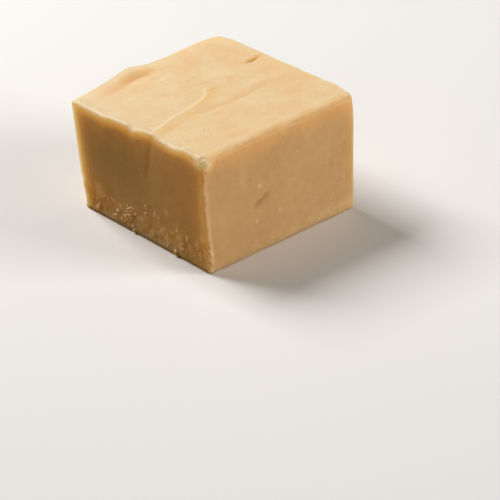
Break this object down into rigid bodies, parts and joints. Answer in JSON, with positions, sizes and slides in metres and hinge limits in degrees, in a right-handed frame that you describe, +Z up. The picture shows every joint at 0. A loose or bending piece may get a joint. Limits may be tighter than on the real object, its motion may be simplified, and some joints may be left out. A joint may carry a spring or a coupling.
{
  "type": "fudge cube",
  "caption": "Knife-cut block of pale caramel fudge with a smoothed, folded top, softened corners and one wall torn along its foot.",
  "frame": {"origin": "under the middle of the block's own box, on the surface that it stands on", "axes": "+Z up, from the side that lay on the pan to the poured top; +X along the clean near wall to its right; +Y from that wall to the far one"},
  "size_m": [0.0328, 0.0344, 0.0217],
  "materials": {
    "fudge": "pale caramel fudge: satin cream-coloured top, slightly darker and duller cut walls, light shining a little way into its edges"
  },
  "bodies": {
    "root": {"fudge": "fudge"}
  },
  "joints": []
}
